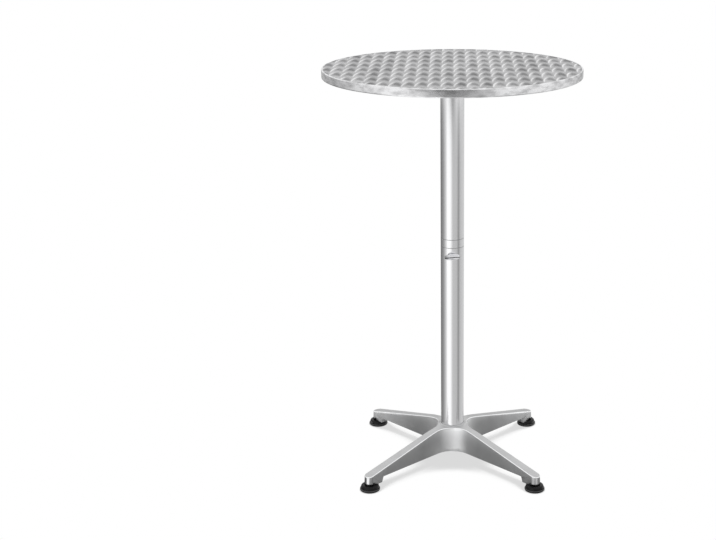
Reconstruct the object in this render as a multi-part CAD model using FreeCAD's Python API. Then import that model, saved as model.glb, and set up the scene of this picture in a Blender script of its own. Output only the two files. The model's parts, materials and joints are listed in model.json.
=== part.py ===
"""Folding bar table: a round tilting top on a two-part column and a four-legged cast base.

Millimetres. The origin is on the floor, on the column's axis. +Z is up. The legs point along
the diagonals. The top tilts about a pin on the -X side, and its clamp rod points to +X.
"""
import math
import os

import FreeCAD
import Part
from FreeCAD import Vector

# Overall sizes
table_height = 1100.0
top_diameter = 680.0
foot_spacing = 441.0
column_diameter = 63.4
lower_tube_top = 618.0

# Fits
press_gap = 0.02
running_gap = 0.05
sliding_gap = 0.10
board_gap = 0.4
swing_gap = 0.5
clamp_gap = 0.4
collar_gap = 1.0
overcut = 1.0

# Base casting
hub_height = 100.5
leg_tip_height = 41.0
rim_height = 31.0
leg_half_width_top = 11.0
leg_half_width_foot = 15.0
socket_wall = 8.3
waist_draft = 4.0
shoulder_radius = 64.0
shoulder_blend = 30.0
crease_radius = 2.5
foot_block_length = 30.0
foot_block_slope = 6.0
leg_wall = 4.5
leg_roof = 6.0
hub_floor = 14.0
bolt_recess_depth = 7.0
bolt_recess_radius = 28.0
collar_width = 3.8
collar_height = 2.6

# Feet
pad_radius = 27.0
pad_height = 16.0
pad_groove_height = 6.6
pad_groove_width = 1.4
pad_groove_depth = 1.4
pad_shoulder = 2.0
pad_step = 2.5
foot_gap = 0.5
stem_radius = 4.0
stem_in_pad = 9.0
stem_cover = 7.0

# Column tubes and the plug and bolt that hold the lower one
tube_wall = 2.0
plug_length = 30.0
bolt_radius = 6.0
bolt_head_height = 7.5
bolt_head_across = 18.0
bolt_length = 45.0
washer_radius = 20.0
washer_thickness = 2.5

# Column joint and its lock
ring_height = 23.0
ring_chamfer = 0.8
spigot_up = 80.0
spigot_down = 85.0
spigot_bore_radius = 16.0
keyway_width = 14.0
keyway_depth = 8.4
lock_drop = 21.0
bush_radius = 6.0
bush_flange_radius = 9.0
bush_flange_stand = 1.3
bush_reach = 7.4
lock_stem_radius = 4.0
oval_length = 41.0
oval_height = 15.0
oval_depth = 12.0
oval_edge = 2.0
oval_slot_width = 2.6
oval_slot_depth = 3.2
oval_turn_deg = 4.0
oval_neck_radius = 7.0
oval_neck_length = 2.6

# Round top
rim_depth = 22.0
band_wall = 1.0
band_corner = 2.5
band_lengths = 8
top_lip = 4.0
bottom_lip = 9.0
sheet_thickness = 0.8
edge_press = 0.2

# Spider under the top
spider_reach = 162.0
spider_half_width = 18.0
spider_waist = 52.0
spider_thickness = 5.0
spider_edge = 1.2
spider_screw_radii = (102.0, 138.0)
wood_screw_radius = 2.2
wood_screw_head_radius = 4.6
wood_screw_head_height = 2.8
wood_screw_bite = 14.0

# Hinge box
hinge_offset = 45.0
box_front = 58.5
box_half_width = 32.0
box_depth = 23.8
box_floor = 4.0
box_wall = 4.0
ear_radius = 11.0
hinge_drop = 13.5
box_bolt_x = (-14.0, 42.0)
box_bolt_y = 17.0
box_bolt_radius = 3.0
box_bolt_head_radius = 5.6
rest_pad_radius = 14.0
rest_pad_thickness = 3.0
rest_pad_x = 16.0

# Column head, hinge pin and clamp rod
head_top_drop = 52.0
head_plug_length = 70.0
head_flange = 5.0
head_neck_radius = 27.0
head_plate_thickness = 12.6
head_plate_half_width = 25.0
head_plate_front = 46.0
head_bore_radius = 20.0
neck_slot_width = 14.0
neck_slot_height = 18.0
knuckle_radius = 8.4
pin_radius = 4.0
pin_head_radius = 6.5
pin_head_height = 3.0
pin_clip_thickness = 1.2
pin_clip_radius = 6.8
pin_clip_mouth = 5.0
pin_tail = 3.5
hinge_bush_radius = 5.5
hinge_bush_flange_radius = 7.5
rod_radius = 4.0
rod_in_head = 26.0
rod_collar_radius = 10.0
rod_collar_length = 6.0
knob_start = 150.0
knob_radius = 13.0
knob_length = 22.0
knob_lobes = 4
knob_scallop_radius = 9.0
knob_scallop_depth = 4.0
knob_edge = 1.5
knob_nut_across = 13.0
knob_nut_length = 6.5
column_screw_radius = 3.0
column_screw_head_radius = 5.2
column_screw_head_height = 2.6
column_screw_bite = 9.0
head_screw_drop = 26.0
spigot_screw_rise = 20.0

# Worked-out places
ORIGIN = Vector(0, 0, 0)
UP = Vector(0, 0, 1)
ALONG_X = Vector(1, 0, 0)
ALONG_Y = Vector(0, 1, 0)
TOWARDS_BACK = ALONG_Y
TOWARDS_FRONT = Vector(0, -1, 0)
tube_radius = column_diameter / 2
tube_bore = tube_radius - tube_wall
top_radius = top_diameter / 2
foot_reach = foot_spacing / math.sqrt(2)
foot_block_bottom = pad_height + foot_gap
socket_floor = rim_height + bolt_recess_depth + hub_floor
recess_roof = rim_height + bolt_recess_depth
upper_tube_bottom = lower_tube_top + ring_height
upper_tube_top = table_height - rim_depth - head_top_drop
lock_height = lower_tube_top - lock_drop
underside = table_height - rim_depth + band_wall
sheet_top = table_height - band_wall + edge_press
board_top = sheet_top - sheet_thickness
spider_bottom = underside - spider_thickness
box_roof = spider_bottom - box_floor
box_bottom = spider_bottom - box_depth
hinge_height = spider_bottom - hinge_drop
plate_top = box_roof - rest_pad_thickness
plate_bottom = plate_top - head_plate_thickness
rod_height = plate_bottom + head_plate_thickness / 2
CORNERS = (("front_left", -1, -1), ("front_right", 1, -1), ("rear_left", -1, 1), ("rear_right", 1, 1))


def rod(radius, start, length, axis=UP):
    """A solid round bar from a start point along an axis."""
    return Part.makeCylinder(radius, length, start, axis)


def pipe(outer, inner, start, length, axis=UP):
    """A round tube, open at both ends."""
    return rod(outer, start, length, axis).cut(rod(inner, start, length, axis))


def block(low, high):
    """A box between two corners, each given as (x, y, z)."""
    low, high = Vector(*low), Vector(*high)
    size = high - low
    return Part.makeBox(size.x, size.y, size.z, low)


def turned(outline, angle=360):
    """A solid of revolution about Z, from edges or (radius, height) corners."""
    if isinstance(outline[0], tuple):
        corners = [Vector(radius, 0, height) for radius, height in outline]
        wire = Part.makePolygon(corners + corners[:1])
    else:
        wire = Part.Wire(outline)
    return Part.Face(wire).revolve(ORIGIN, UP, angle)


def hexagon(across_flats, start, length, axis):
    """A hexagonal prism that starts at a point and runs along an axis."""
    corner = across_flats / math.sqrt(3)
    points = []
    for step in range(7):
        angle = math.radians(60 * step)
        points.append(Vector(corner * math.cos(angle), corner * math.sin(angle), 0))
    prism = Part.Face(Part.makePolygon(points)).extrude(Vector(0, 0, length))
    prism.Placement = FreeCAD.Placement(start, FreeCAD.Rotation(UP, axis))
    return prism


def star_outline(half_width, reach, waist, height, first_arm_deg):
    """Four rounded arms with a concave arc between neighbours, as a closed wire at a height.

    reach is the centre of an arm's rounded end, and waist is how near the arcs come to the axis.
    """
    fillet = (waist - half_width * math.sqrt(2)) / (math.sqrt(2) - 1)
    arm_root = half_width + fillet
    edges = []
    for arm in range(4):
        angle = math.radians(first_arm_deg + 90 * arm)
        out = Vector(math.cos(angle), math.sin(angle), 0)
        left = Vector(-math.sin(angle), math.cos(angle), 0)
        level = Vector(0, 0, height)
        right_root = out * arm_root - left * half_width + level
        right_end = out * reach - left * half_width + level
        tip = out * (reach + half_width) + level
        left_end = out * reach + left * half_width + level
        left_root = out * arm_root + left * half_width + level
        hollow = (out + left) * (waist / math.sqrt(2)) + level
        next_root = left * arm_root + out * half_width + level
        edges.append(Part.LineSegment(right_root, right_end).toShape())
        edges.append(Part.Arc(right_end, tip, left_end).toShape())
        edges.append(Part.LineSegment(left_end, left_root).toShape())
        edges.append(Part.Arc(left_root, hollow, next_root).toShape())
    return Part.Wire(edges)


def leg_slope():
    """Fall of a leg's top for each millimetre outwards from the shoulder."""
    run = foot_reach + leg_half_width_foot - shoulder_radius
    return (hub_height - leg_tip_height) / run


def leg_top(radius):
    """Height of the sloping top of a leg at a distance from the axis."""
    return hub_height - leg_slope() * (radius - shoulder_radius)


def base_top_profile():
    """Edges of the turned shape whose upper side is the casting's top."""
    fall = math.atan(leg_slope())
    bend = shoulder_blend / math.tan(fall / 2)
    outer = foot_reach + 2 * leg_half_width_foot
    start = Vector(shoulder_radius - shoulder_blend, 0, hub_height)
    end = Vector(shoulder_radius, 0, hub_height) + Vector(math.cos(fall), 0, -math.sin(fall)) * shoulder_blend
    middle = start + Vector(bend * math.sin(fall / 2), 0, bend * (math.cos(fall / 2) - 1))
    corners = [end, Vector(outer, 0, leg_top(outer)), Vector(outer, 0, 0), ORIGIN,
               Vector(0, 0, hub_height), start]
    edges = [Part.LineSegment(a, b).toShape() for a, b in zip(corners, corners[1:])]
    edges.append(Part.Arc(start, middle, end).toShape())
    return Part.__sortEdges__(edges)


def base_casting():
    """Hollow four-legged casting with a socket for the column and a block over each foot."""
    waist = tube_radius + socket_wall
    low_star = star_outline(leg_half_width_foot, foot_reach, waist + waist_draft, foot_block_bottom, 45)
    high_star = star_outline(leg_half_width_top, foot_reach, waist, hub_height, 45)
    body = Part.makeLoft([low_star, high_star], True, True)
    body = body.common(turned(base_top_profile()))
    creases = [edge for edge in body.Edges if on_casting_top(edge)]
    body = body.makeFillet(crease_radius, creases)
    block_start = foot_reach - foot_block_length
    under_cut = turned([(0, 0), (block_start, 0), (block_start, foot_block_bottom),
                        (block_start - foot_block_slope, rim_height), (0, rim_height)])
    body = body.cut(under_cut)
    collar_outer = tube_radius + collar_width
    collar_crest = hub_height + collar_height
    collar = turned([(0, hub_height - overcut), (collar_outer, hub_height - overcut),
                     (collar_outer, hub_height + collar_height / 2),
                     (tube_radius + collar_width / 2, collar_crest), (0, collar_crest)])
    body = body.fuse(collar)
    body = body.cut(rod(tube_radius + press_gap, Vector(0, 0, socket_floor), table_height))
    body = body.cut(rod(bolt_radius + sliding_gap, ORIGIN, socket_floor))
    body = body.cut(rod(bolt_recess_radius, ORIGIN, recess_roof))
    for corner in range(4):
        hollow = leg_hollow()
        stem_hole = rod(stem_radius + running_gap, Vector(foot_reach, 0, 0), leg_top(foot_reach) - stem_cover)
        for cutter in (hollow, stem_hole):
            cutter.rotate(ORIGIN, UP, 45 + 90 * corner)
            body = body.cut(cutter)
    return body.removeSplitter()


def on_casting_top(edge):
    """True for an edge along the casting's upper surface, and not one that only crosses a leg."""
    first, last = edge.FirstParameter, edge.LastParameter
    points = [edge.valueAt(value) for value in (first, (first + last) / 2, last)]
    radii = [math.hypot(point.x, point.y) for point in points]
    crosses = max(radii) - min(radii) < press_gap
    top_there = min(hub_height, leg_top(radii[1]))
    return not crosses and abs(points[1].z - top_there) < crease_radius


def leg_hollow():
    """Channel under one leg, drawn along +X before it is turned to its leg."""
    half = leg_half_width_top - leg_wall
    start = tube_radius + socket_wall + leg_wall
    end = foot_reach - foot_block_length
    roof_start = hub_height - leg_roof - shoulder_blend * leg_slope()
    profile = [Vector(start, -half, 0), Vector(end, -half, 0), Vector(end, -half, leg_top(end) - leg_roof),
               Vector(shoulder_radius, -half, roof_start), Vector(start, -half, roof_start)]
    face = Part.Face(Part.makePolygon(profile + profile[:1]))
    return face.extrude(Vector(0, 2 * half, 0))


def foot_pad(x, y):
    """Black pad under one leg: a broad flange, a groove and a narrower upper part."""
    groove_top = pad_groove_height + pad_groove_width
    upper_radius = pad_radius - pad_step
    groove_radius = upper_radius - pad_groove_depth
    pad = turned([(0, 0), (pad_radius - pad_shoulder, 0), (pad_radius, pad_shoulder),
                  (pad_radius, pad_groove_height), (groove_radius, pad_groove_height),
                  (groove_radius, groove_top), (upper_radius, groove_top),
                  (upper_radius - pad_shoulder / 2, pad_height - pad_shoulder),
                  (upper_radius - 2 * pad_shoulder, pad_height), (0, pad_height)])
    pad = pad.cut(rod(stem_radius + press_gap, Vector(0, 0, pad_height - stem_in_pad), stem_in_pad))
    return pad.translated(Vector(x, y, 0))


def foot_stem(x, y):
    """Threaded stud that joins a pad to its leg."""
    bottom = pad_height - stem_in_pad
    top = leg_top(foot_reach) - stem_cover - swing_gap
    return rod(stem_radius, Vector(x, y, bottom), top - bottom)


def lower_tube():
    """Lower column tube, seated in the hub, with a hole for the lock bush."""
    body = pipe(tube_radius, tube_bore, Vector(0, 0, socket_floor), lower_tube_top - socket_floor)
    hole = rod(bush_radius + press_gap, Vector(0, 0, lock_height), 2 * tube_radius, TOWARDS_FRONT)
    return body.cut(hole)


def tube_plug():
    """Plug pressed into the lower tube, tapped for the base bolt."""
    return pipe(tube_bore - press_gap, bolt_radius + press_gap, Vector(0, 0, socket_floor), plug_length)


def base_washer():
    """Broad washer under the hub's floor."""
    bottom = Vector(0, 0, recess_roof - washer_thickness)
    return pipe(washer_radius, bolt_radius + sliding_gap, bottom, washer_thickness)


def base_bolt():
    """Hexagon bolt that pulls the column into the hub."""
    head_top = recess_roof - washer_thickness
    head = hexagon(bolt_head_across, Vector(0, 0, head_top - bolt_head_height), bolt_head_height, UP)
    return head.fuse(rod(bolt_radius, Vector(0, 0, head_top), bolt_length))


def lock_bush():
    """Threaded bush in the front of the lower tube."""
    face = tube_radius + bush_flange_stand
    start = Vector(0, -(tube_radius - bush_reach), lock_height)
    shank = rod(bush_radius, start, bush_reach + bush_flange_stand, TOWARDS_FRONT)
    flange = rod(bush_flange_radius, Vector(0, 0, lock_height), face, TOWARDS_FRONT)
    flange = flange.cut(rod(tube_radius + press_gap, ORIGIN, table_height))
    hole = rod(lock_stem_radius + running_gap, Vector(0, 0, lock_height), table_height, TOWARDS_FRONT)
    return shank.fuse(flange).cut(hole)


def lock_knob():
    """Oval thumb knob with a slot along its face, on a short round neck."""
    back = tube_radius + bush_flange_stand + running_gap
    neck = rod(oval_neck_radius, Vector(0, -back, lock_height), oval_neck_length, TOWARDS_FRONT)
    ellipse = Part.Ellipse(ORIGIN, oval_length / 2, oval_height / 2)
    oval = Part.Face(Part.Wire(ellipse.toShape())).extrude(Vector(0, 0, oval_depth))
    rims = [edge for edge in oval.Edges if edge.BoundBox.ZMin > oval_depth - running_gap]
    oval = oval.makeFillet(oval_edge, rims)
    slot_low = (-oval_length, -oval_slot_width / 2, oval_depth - oval_slot_depth)
    slot_high = (oval_length, oval_slot_width / 2, oval_depth + overcut)
    oval = oval.cut(block(slot_low, slot_high))
    oval.rotate(ORIGIN, UP, oval_turn_deg)
    oval.rotate(ORIGIN, ALONG_X, 90)
    oval = oval.translated(Vector(0, -(back + oval_neck_length), lock_height))
    bore = rod(lock_stem_radius + press_gap, Vector(0, -back, lock_height), oval_depth / 2, TOWARDS_FRONT)
    return neck.fuse(oval).cut(bore)


def lock_stem():
    """Threaded stem of the knob, its tip just off the floor of the keyway."""
    tip = tube_radius - keyway_depth + clamp_gap
    end = tube_radius + bush_flange_stand + running_gap + oval_depth / 2
    return rod(lock_stem_radius, Vector(0, -tip, lock_height), end - tip, TOWARDS_FRONT)


def joint_spigot():
    """Turned plug that joins the tubes, with a ring that shows between them."""
    fit = tube_bore - press_gap
    slide = tube_bore - sliding_gap
    bottom = lower_tube_top - spigot_down
    top = upper_tube_bottom + spigot_up
    ring_in = tube_radius - ring_chamfer
    body = turned([(spigot_bore_radius, bottom), (slide - ring_chamfer, bottom),
                   (slide, bottom + ring_chamfer), (slide, lower_tube_top), (ring_in, lower_tube_top),
                   (tube_radius, lower_tube_top + ring_chamfer),
                   (tube_radius, upper_tube_bottom - ring_chamfer), (ring_in, upper_tube_bottom),
                   (fit, upper_tube_bottom), (fit, top), (spigot_bore_radius, top)])
    half = keyway_width / 2
    floor = tube_radius - keyway_depth
    keyway = block((-half, -tube_radius, bottom - overcut), (half, -floor, lock_height + half))
    return body.cut(keyway).cut(column_screw_hole(upper_tube_bottom + spigot_screw_rise))


def column_screw_hole(height):
    """Hole through the back of the column for one of its screws."""
    length = column_screw_bite + tube_wall
    start = Vector(0, tube_radius - length, height)
    return rod(column_screw_radius + press_gap, start, 2 * length, TOWARDS_BACK)


def column_screw_heights():
    """Heights of the screws that hold the spigot and the head in the upper tube."""
    return upper_tube_bottom + spigot_screw_rise, upper_tube_top - head_screw_drop


def upper_tube():
    """Upper column tube, drilled at the back for its screws."""
    body = pipe(tube_radius, tube_bore, Vector(0, 0, upper_tube_bottom), upper_tube_top - upper_tube_bottom)
    for height in column_screw_heights():
        body = body.cut(column_screw_hole(height))
    return body


def column_screws():
    """Button-headed screws at the back of the upper tube."""
    screws = []
    for height in column_screw_heights():
        crown = tube_radius + column_screw_head_height
        tip = tube_radius - tube_wall - column_screw_bite
        into_head = crown - column_screw_head_height / 2
        shank = rod(column_screw_radius, Vector(0, tip, height), into_head - tip, TOWARDS_BACK)
        head = rod(column_screw_head_radius, Vector(0, 0, height), crown, TOWARDS_BACK)
        rims = [edge for edge in head.Edges if edge.BoundBox.YMin > tube_radius]
        head = head.makeFillet(column_screw_head_height / 2, rims)
        head = head.cut(rod(tube_radius + press_gap, ORIGIN, table_height))
        screws.append(head.fuse(shank))
    return Part.makeCompound(screws)


def column_head():
    """Head of the column: a plug in the tube, a slotted neck and a plate with the hinge knuckle."""
    plug_bottom = upper_tube_top - head_plug_length
    fit = tube_bore - press_gap
    flange_top = upper_tube_top + head_flange
    body = turned([(head_bore_radius, plug_bottom), (fit, plug_bottom), (fit, upper_tube_top),
                   (tube_radius - ring_chamfer, upper_tube_top), (tube_radius, upper_tube_top + ring_chamfer),
                   (tube_radius, flange_top - ring_chamfer), (tube_radius - ring_chamfer, flange_top),
                   (head_neck_radius, flange_top), (head_neck_radius, plate_bottom + overcut),
                   (0, plate_bottom + overcut), (0, plate_bottom - head_flange),
                   (head_bore_radius, plate_bottom - head_flange)])
    half = head_plate_half_width
    plate = block((-hinge_offset, -half, plate_bottom), (head_plate_front, half, plate_top))
    knuckle_start = Vector(-hinge_offset, -half, hinge_height)
    body = body.fuse(plate).fuse(rod(knuckle_radius, knuckle_start, 2 * half, ALONG_Y))
    body = body.cut(rod(pin_radius + press_gap, knuckle_start, 2 * half, ALONG_Y))
    hole_end = Vector(head_plate_front - rod_in_head, 0, rod_height)
    rod_hole = rod(rod_radius + running_gap, hole_end, rod_in_head, ALONG_X)
    slot_low = (-neck_slot_width / 2, -tube_radius, plate_bottom - neck_slot_height)
    slot = block(slot_low, (neck_slot_width / 2, tube_radius, plate_bottom - overcut))
    body = body.cut(rod_hole).cut(slot)
    return body.cut(column_screw_hole(upper_tube_top - head_screw_drop)).removeSplitter()


def hinge_pin():
    """Pin of the tilting top, with a head at the front and a tail for the clip."""
    outer = box_half_width + running_gap
    end = outer + pin_clip_thickness + pin_tail
    shank = rod(pin_radius, Vector(-hinge_offset, -outer, hinge_height), outer + end, ALONG_Y)
    head_end = Vector(-hinge_offset, -outer - pin_head_height, hinge_height)
    return rod(pin_head_radius, head_end, pin_head_height, ALONG_Y).fuse(shank)


def pin_clip():
    """Open retaining ring on the pin's tail."""
    start = Vector(-hinge_offset, box_half_width + running_gap, hinge_height)
    ring = pipe(pin_clip_radius, pin_radius + press_gap, start, pin_clip_thickness, ALONG_Y)
    half = pin_clip_mouth / 2
    mouth = block((start.x - half, start.y - overcut, hinge_height - 2 * pin_clip_radius),
                  (start.x + half, start.y + 2 * pin_clip_thickness, hinge_height))
    return ring.cut(mouth)


def hinge_bushes():
    """Flanged bushes in the ears of the hinge box, one each side of the knuckle."""
    bushes = []
    inner = head_plate_half_width + running_gap
    ear_inner = box_half_width - box_wall
    for side in (1, -1):
        axis = ALONG_Y * side
        start = Vector(-hinge_offset, side * inner, hinge_height)
        flange = rod(hinge_bush_flange_radius, start, ear_inner - inner, axis)
        bush = flange.fuse(rod(hinge_bush_radius, start, box_half_width - inner, axis))
        bushes.append(bush.cut(rod(pin_radius + running_gap, start, box_half_width, axis)))
    return Part.makeCompound(bushes)


def clamp_rod():
    """Dark rod that screws into the head, with a collar that presses on the hinge box."""
    start = head_plate_front - rod_in_head + swing_gap
    bar = rod(rod_radius, Vector(start, 0, rod_height), knob_start + knob_length / 2 - start, ALONG_X)
    collar = rod(rod_collar_radius, Vector(box_front + collar_gap, 0, rod_height), rod_collar_length, ALONG_X)
    return bar.fuse(collar)


def knob_nut():
    """Hexagon nut that locks the knob on the rod."""
    start = Vector(knob_start - knob_nut_length, 0, rod_height)
    nut = hexagon(knob_nut_across, start, knob_nut_length, ALONG_X)
    return nut.cut(rod(rod_radius + press_gap, start, knob_nut_length, ALONG_X))


def clamp_knob():
    """Lobed knob at the end of the clamp rod."""
    start = Vector(knob_start, 0, rod_height)
    knob = rod(knob_radius, start, knob_length, ALONG_X)
    offset = knob_radius + knob_scallop_radius - knob_scallop_depth
    for lobe in range(knob_lobes):
        angle = 2 * math.pi * (lobe + 0.5) / knob_lobes
        scallop = start + Vector(-overcut, offset * math.cos(angle), offset * math.sin(angle))
        knob = knob.cut(rod(knob_scallop_radius, scallop, knob_length + 2 * overcut, ALONG_X))
    ends = [edge for edge in knob.Edges if edge.BoundBox.XLength < running_gap]
    knob = knob.makeFillet(knob_edge, ends)
    return knob.cut(rod(rod_radius + press_gap, start, knob_length / 2, ALONG_X))


def spider():
    """Cross-shaped bracket screwed to the underside of the top."""
    reach = spider_reach - spider_half_width
    outline = star_outline(spider_half_width, reach, spider_waist, spider_bottom, 0)
    body = Part.Face(outline).extrude(Vector(0, 0, spider_thickness))
    lower = [edge for edge in body.Edges if edge.BoundBox.ZMax < spider_bottom + running_gap]
    body = body.makeFillet(spider_edge, lower)
    for place in spider_screw_places():
        body = body.cut(rod(wood_screw_radius + sliding_gap, place, spider_thickness))
    for x, y in box_bolt_places():
        body = body.cut(rod(box_bolt_radius + press_gap, Vector(x, y, spider_bottom), spider_thickness))
    return body


def spider_screw_places():
    """Points on the spider's lower face where the wood screws go, two to an arm."""
    places = []
    for arm in range(4):
        angle = math.radians(90 * arm)
        for radius in spider_screw_radii:
            places.append(Vector(radius * math.cos(angle), radius * math.sin(angle), spider_bottom))
    return places


def spider_screws():
    """Pan-headed wood screws that hold the spider to the board."""
    screws = []
    for place in spider_screw_places():
        head = rod(wood_screw_head_radius, place - UP * wood_screw_head_height, wood_screw_head_height)
        rims = [edge for edge in head.Edges if edge.BoundBox.ZMax < spider_bottom - running_gap]
        head = head.makeFillet(wood_screw_head_height / 2, rims)
        shank = rod(wood_screw_radius, place, spider_thickness + sheet_thickness + wood_screw_bite)
        screws.append(head.fuse(shank))
    return Part.makeCompound(screws)


def pilot_holes(body):
    """Cut the wood screws' holes through a layer of the top."""
    for place in spider_screw_places():
        length = spider_thickness + sheet_thickness + wood_screw_bite
        body = body.cut(rod(wood_screw_radius + press_gap, place, length))
    return body


def backing_sheet():
    """White laminate on the underside of the board, inside the band's lower lip."""
    radius = top_radius - band_corner - board_gap
    return pilot_holes(rod(radius, Vector(0, 0, underside), sheet_thickness))


def core_board():
    """Round board between the two sheets."""
    bottom = underside + sheet_thickness
    return pilot_holes(rod(top_radius - band_wall - board_gap, Vector(0, 0, bottom), board_top - bottom))


def top_sheet():
    """Swirled steel sheet on the board, with its edge pressed down under the band's upper lip."""
    bottom = Vector(0, 0, board_top)
    face = rod(top_radius - top_lip - board_gap, bottom, sheet_thickness)
    edge = rod(top_radius - band_corner - board_gap, bottom, sheet_thickness - edge_press)
    return face.fuse(edge).removeSplitter()


def edge_band():
    """Rolled band round the top, turned in equal lengths so that its thin wall stays even."""
    arc = 360 / band_lengths
    lengths = []
    for step in range(band_lengths):
        length = turned(band_section(), arc)
        length.rotate(ORIGIN, UP, arc * step)
        lengths.append(length)
    return lengths[0].fuse(lengths[1:])


def band_section():
    """Edges of the band's C section: two rounded corners, the wall between them and two lips."""
    upper = Vector(top_radius - band_corner, 0, table_height - band_corner)
    lower = Vector(top_radius - band_corner, 0, table_height - rim_depth + band_corner)
    edges, upper_tips, lower_tips = [], [], []
    for radius in (band_corner, band_corner - band_wall):
        out = ALONG_X * radius
        rise = UP * radius
        slant = (out + rise) / math.sqrt(2)
        dip = (out - rise) / math.sqrt(2)
        upper_tips.append(Vector(top_radius - top_lip, 0, upper.z + radius))
        lower_tips.append(Vector(top_radius - bottom_lip, 0, lower.z - radius))
        edges.append(Part.LineSegment(upper_tips[-1], upper + rise).toShape())
        edges.append(Part.Arc(upper + rise, upper + slant, upper + out).toShape())
        edges.append(Part.LineSegment(upper + out, lower + out).toShape())
        edges.append(Part.Arc(lower + out, lower + dip, lower - rise).toShape())
        edges.append(Part.LineSegment(lower - rise, lower_tips[-1]).toShape())
    edges.append(Part.LineSegment(*upper_tips).toShape())
    edges.append(Part.LineSegment(*lower_tips).toShape())
    return Part.__sortEdges__(edges)


def box_bolt_places():
    """Plan positions of the bolts that hold the hinge box to the spider."""
    return [(x, y) for x in box_bolt_x for y in (-box_bolt_y, box_bolt_y)]


def hinge_box():
    """Shallow box over the column head, with ears for the pin and a notch for the clamp rod."""
    back = -hinge_offset - ear_radius
    width = box_half_width
    body = block((back, -width, box_bottom), (box_front, width, spider_bottom))
    inner = width - box_wall
    below = box_bottom - overcut
    body = body.cut(block((back - overcut, -inner, below), (box_front - box_wall, inner, box_roof)))
    ear_waste = block((back - overcut, -width, below), (-hinge_offset, width, hinge_height))
    ears = rod(ear_radius, Vector(-hinge_offset, -width, hinge_height), 2 * width, ALONG_Y)
    body = body.cut(ear_waste.cut(ears))
    pin_start = Vector(-hinge_offset, -width, hinge_height)
    body = body.cut(rod(hinge_bush_radius + press_gap, pin_start, 2 * width, ALONG_Y))
    notch_half = rod_radius + swing_gap
    notch_start = Vector(box_front - 2 * box_wall, 0, rod_height)
    body = body.cut(rod(notch_half, notch_start, 3 * box_wall, ALONG_X))
    notch_low = (notch_start.x, -notch_half, below)
    body = body.cut(block(notch_low, (box_front + overcut, notch_half, rod_height)))
    for x, y in box_bolt_places():
        body = body.cut(countersunk(x, y, press_gap))
    return body


def countersunk(x, y, gap):
    """Shape of a countersunk bolt from the box's floor up through the spider."""
    sink = box_bolt_head_radius - box_bolt_radius
    cone = Part.makeCone(box_bolt_head_radius + gap, box_bolt_radius + gap, sink, Vector(x, y, box_roof))
    return cone.fuse(rod(box_bolt_radius + gap, Vector(x, y, box_roof), box_floor + spider_thickness))


def box_bolts():
    """Countersunk bolts, flush inside the hinge box."""
    return Part.makeCompound([countersunk(x, y, 0) for x, y in box_bolt_places()])


def rest_pad():
    """Rubber disc that the column head carries the top on."""
    return rod(rest_pad_radius, Vector(rest_pad_x, 0, plate_top), rest_pad_thickness)


def build():
    """Every piece of the table, by the name of its node."""
    pieces = [base_casting, lower_tube, tube_plug, base_washer, base_bolt, lock_bush, lock_knob, lock_stem,
              joint_spigot, upper_tube, column_screws, column_head, hinge_pin, pin_clip, clamp_rod, knob_nut,
              clamp_knob, top_sheet, edge_band, core_board, backing_sheet, spider, spider_screws, hinge_box,
              box_bolts, rest_pad, hinge_bushes]
    shapes = {piece.__name__: piece() for piece in pieces}
    half = foot_spacing / 2
    for corner, x_side, y_side in CORNERS:
        shapes["foot_pad_" + corner] = foot_pad(x_side * half, y_side * half)
        shapes["foot_stem_" + corner] = foot_stem(x_side * half, y_side * half)
    return shapes


os.makedirs("parts", exist_ok=True)
for name, shape in build().items():
    shape.exportStep("parts/" + name + ".step")
    print(name, len(shape.Solids), "solids", round(shape.Volume / 1000, 2), "cm3", "valid", shape.isValid())
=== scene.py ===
# %% [markdown]
# # A folding bar table
#
# The table is metal from top to bottom: a swirled steel top, an anodised tube column and a
# cast star base on four black levelling feet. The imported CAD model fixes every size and
# every joint. This lesson puts smooth surfaces and finishes on it, piece by piece.

# %% Load the frame
import json
import math

import bmesh
import bpy
from mathutils import Matrix, Vector


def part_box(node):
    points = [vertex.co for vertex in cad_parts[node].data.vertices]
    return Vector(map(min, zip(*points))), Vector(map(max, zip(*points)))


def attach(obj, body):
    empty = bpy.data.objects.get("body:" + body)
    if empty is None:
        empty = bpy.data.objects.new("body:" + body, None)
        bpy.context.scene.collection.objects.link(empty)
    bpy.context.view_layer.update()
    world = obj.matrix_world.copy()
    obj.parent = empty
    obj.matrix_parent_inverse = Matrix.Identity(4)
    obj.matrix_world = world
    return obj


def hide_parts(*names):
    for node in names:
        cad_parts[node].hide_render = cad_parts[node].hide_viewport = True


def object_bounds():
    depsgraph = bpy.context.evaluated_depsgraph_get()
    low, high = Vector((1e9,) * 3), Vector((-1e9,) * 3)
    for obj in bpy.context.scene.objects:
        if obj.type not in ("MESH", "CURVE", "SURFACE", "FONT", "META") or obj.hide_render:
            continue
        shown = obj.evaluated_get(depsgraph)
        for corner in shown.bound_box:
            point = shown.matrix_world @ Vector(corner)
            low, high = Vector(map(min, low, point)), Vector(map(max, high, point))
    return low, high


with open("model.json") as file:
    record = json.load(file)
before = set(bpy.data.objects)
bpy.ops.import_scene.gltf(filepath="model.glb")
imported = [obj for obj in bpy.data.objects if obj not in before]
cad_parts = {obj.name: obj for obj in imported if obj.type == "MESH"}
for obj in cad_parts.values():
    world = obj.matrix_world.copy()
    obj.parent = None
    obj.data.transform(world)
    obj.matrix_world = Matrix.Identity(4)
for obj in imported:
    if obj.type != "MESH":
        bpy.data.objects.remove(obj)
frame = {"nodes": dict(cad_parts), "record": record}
cad_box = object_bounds()
scene = bpy.context.scene
scene.view_settings.view_transform = "Standard"
MM = 0.001


def span(node):
    """Lowest and highest corner of a CAD node, in millimetres."""
    low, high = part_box(node)
    return low / MM, high / MM


print("height:", round(cad_box[1].z, 3), "m")

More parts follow.
